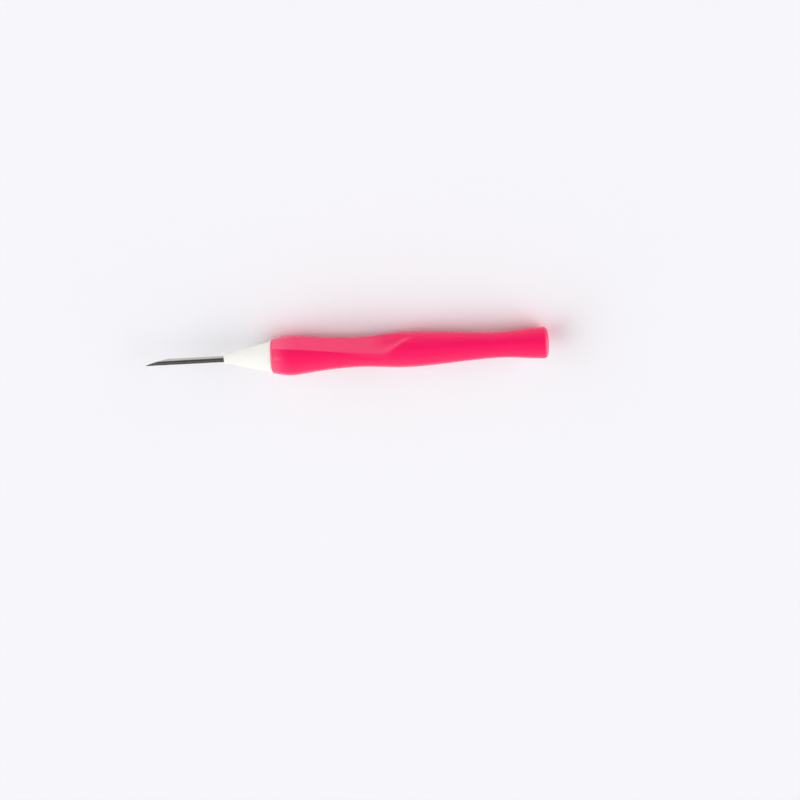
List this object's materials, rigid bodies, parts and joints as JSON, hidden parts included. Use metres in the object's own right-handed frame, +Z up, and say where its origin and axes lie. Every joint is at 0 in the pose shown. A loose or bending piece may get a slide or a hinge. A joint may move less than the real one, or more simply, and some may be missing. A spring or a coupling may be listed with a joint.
{
  "type": "punch needle",
  "caption": "Slim hand tool for loop embroidery: a hollow slant-tipped steel needle in a white conical hub that pushes into a waisted pink handle with finger flats.",
  "frame": {"origin": "under the tool's axis, halfway along the tool, on the surface that the tool lies on", "axes": "+X along the tool from the needle's tip to the handle's tail, +Z up from the surface, with one of the two finger flats facing straight down, and +Y level, to the side that the other flat and the ridge between them are on"},
  "size_m": [0.1244, 0.0123, 0.0119],
  "materials": {
    "pink_plastic": "injection moulded, polished body with satin finger flats",
    "white_plastic": "injection moulded, soft sheen",
    "steel": "drawn tube, polished, ground tip"
  },
  "bodies": {
    "handle": {"handle": "pink_plastic"},
    "needle_head": {"needle_hub": "white_plastic", "needle": "steel"}
  },
  "joints": [
    {"name": "head_pull", "type": "slide", "parent": "handle", "child": "needle_head", "axis": [-1, 0, 0], "range_m": [0, 0.02]}
  ]
}
